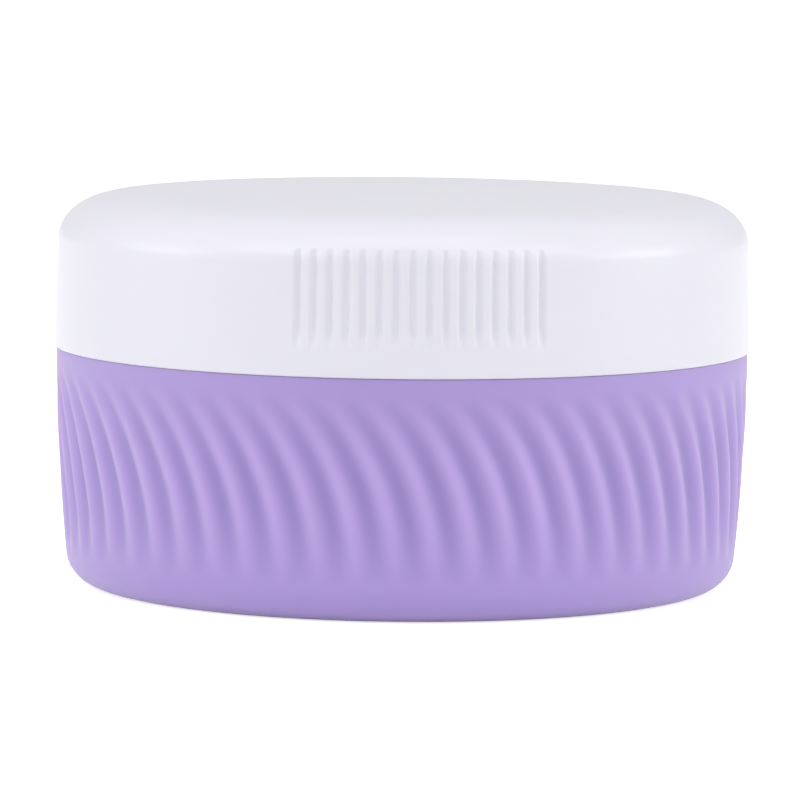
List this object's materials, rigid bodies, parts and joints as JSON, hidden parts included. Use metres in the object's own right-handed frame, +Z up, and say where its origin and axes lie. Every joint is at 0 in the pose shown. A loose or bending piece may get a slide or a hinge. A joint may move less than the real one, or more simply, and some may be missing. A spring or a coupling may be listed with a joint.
{
  "type": "travel jar",
  "caption": "Low round travel jar: a soft lilac silicone cup with slanted waves and a hard threaded neck, closed by a white screw lid with a patch of grip grooves.",
  "frame": {"origin": "centre of the base, on the surface that the jar stands on", "axes": "+Z up along the screw axis, front of the jar with the first patch of grip grooves towards -Y, +X to the right as seen from the front"},
  "size_m": [0.0602, 0.0602, 0.0338],
  "materials": {
    "lilac_silicone": "satin",
    "white_polypropylene": "satin",
    "natural_polypropylene": "satin",
    "clear_silicone": "matte"
  },
  "bodies": {
    "jar": {"silicone_cup": "lilac_silicone", "thread_collar": "natural_polypropylene"},
    "seal": {"seal_gasket": "clear_silicone"},
    "lid": {"lid_inner_cap": "natural_polypropylene", "lid_shell": "white_polypropylene"}
  },
  "joints": [
    {"name": "lid_rise", "type": "slide", "parent": "jar", "child": "seal", "axis": [0, 0, 1], "range_m": [0, 0.012]},
    {"name": "lid_turn", "type": "hinge", "parent": "seal", "child": "lid", "pos_m": [0, 0, 0.0254], "axis": [0, 0, 1], "range_deg": [0, 720]}
  ],
  "couplings": [
    {"joint": "lid_rise", "follows": "lid_turn", "m_per_rad": 0.00095493}
  ]
}
